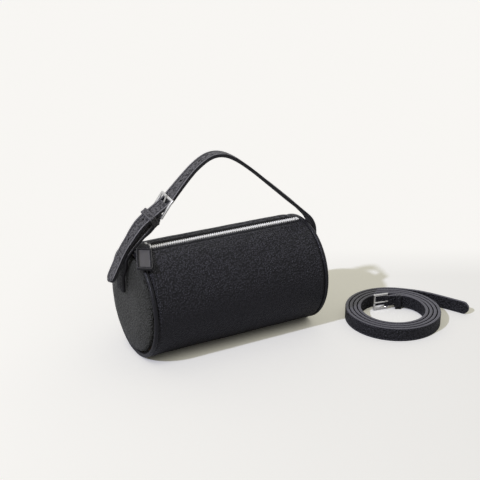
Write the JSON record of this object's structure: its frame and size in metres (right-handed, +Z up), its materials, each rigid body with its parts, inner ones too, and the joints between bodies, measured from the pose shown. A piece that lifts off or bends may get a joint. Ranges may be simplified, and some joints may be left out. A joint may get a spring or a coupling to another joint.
{
  "type": "barrel bag",
  "caption": "Small barrel bag in black pebbled leather with a top zip, a buckled top handle and a loose buckled shoulder strap coiled beside it.",
  "frame": {"origin": "on the floor under the middle of the barrel, halfway between the two end seams", "axes": "+X along the barrel from the buckle end to the plain end, +Y to the back, +Z up"},
  "size_m": [0.4049, 0.1873, 0.2098],
  "materials": {
    "pebbled_leather": "pebbled, satin",
    "strap_backing": "matt",
    "nickel": "polished",
    "zip_metal": "satin",
    "zip_tape": "woven",
    "board": "fibreboard",
    "lining": "woven",
    "padding": "soft"
  },
  "bodies": {
    "bag": {"body_wrap": "pebbled_leather", "body_stiffener": "board", "body_lining": "lining", "left_end_panel": "pebbled_leather", "right_end_panel": "pebbled_leather", "left_end_padding": "padding", "right_end_padding": "padding", "left_end_board": "board", "right_end_board": "board", "left_end_lining": "lining", "right_end_lining": "lining", "left_piping": "pebbled_leather", "right_piping": "pebbled_leather", "left_piping_cord": "padding", "right_piping_cord": "padding", "front_zip_tape": "zip_tape", "rear_zip_tape": "zip_tape", "front_zip_teeth": "zip_metal", "rear_zip_teeth": "zip_metal", "zip_bottom_stop": "zip_metal", "zip_top_stops": "zip_metal", "left_handle_tab": "pebbled_leather", "right_handle_tab": "pebbled_leather"},
    "slider": {"zip_slider": "nickel"},
    "link": {"pull_link": "nickel"},
    "pull": {"zip_pull": "pebbled_leather"},
    "handle": {"handle_strap": "pebbled_leather", "handle_backing": "strap_backing", "buckle_strap": "pebbled_leather", "handle_buckle": "nickel"},
    "prong": {"handle_prong": "nickel"},
    "keeper": {"handle_keeper": "pebbled_leather"},
    "shoulder_strap": {"long_strap": "pebbled_leather", "long_strap_eyes": "pebbled_leather"},
    "shoulder_buckle": {"long_strap_buckle": "nickel"},
    "shoulder_prong": {"long_strap_prong": "nickel"},
    "shoulder_keeper": {"long_strap_keeper": "pebbled_leather"}
  },
  "joints": [
    {"name": "zip_slide", "type": "slide", "parent": "bag", "child": "slider", "axis": [1, 0, 0], "range_m": [0, 0.172]},
    {"name": "link_hinge", "type": "hinge", "parent": "slider", "child": "link", "pos_m": [-0.088, -0.003, 0.12214], "axis": [-0.9336, 0.3448, 0.0977], "range_deg": [0, 25]},
    {"name": "pull_hinge", "type": "hinge", "parent": "link", "child": "pull", "pos_m": [-0.09051, -0.00929, 0.12036], "axis": [-0.9336, 0.3448, 0.0977], "range_deg": [0, 20]},
    {"name": "handle_lean", "type": "hinge", "parent": "bag", "child": "handle", "pos_m": [0, -0.003, 0.09014], "axis": [-1, 0, 0], "range_deg": [-12, 16]},
    {"name": "prong_hinge", "type": "hinge", "parent": "handle", "child": "prong", "pos_m": [-0.07364, -0.003, 0.15317], "axis": [0, -1, 0], "range_deg": [0, 12]},
    {"name": "keeper_slide", "type": "slide", "parent": "handle", "child": "keeper", "axis": [-0.843, 0, -0.5379], "range_m": [-0.003, 0.0015]},
    {"name": "shoulder_strap_lift", "type": "slide", "parent": "bag", "child": "shoulder_strap", "axis": [0, 0, 1], "range_m": [0, 0.05]},
    {"name": "shoulder_buckle_hinge", "type": "hinge", "parent": "shoulder_strap", "child": "shoulder_buckle", "pos_m": [0.19704, -0.04639, 0.00855], "axis": [0, 0, 1], "range_deg": [-25, 25]},
    {"name": "shoulder_prong_hinge", "type": "hinge", "parent": "shoulder_buckle", "child": "shoulder_prong", "pos_m": [0.19704, -0.04639, 0.00855], "axis": [0, 0, 1], "range_deg": [0, 25]},
    {"name": "shoulder_keeper_slide", "type": "slide", "parent": "shoulder_strap", "child": "shoulder_keeper", "axis": [0.8732, -0.4874, 0], "range_m": [-0.002, 0.0015]}
  ]
}
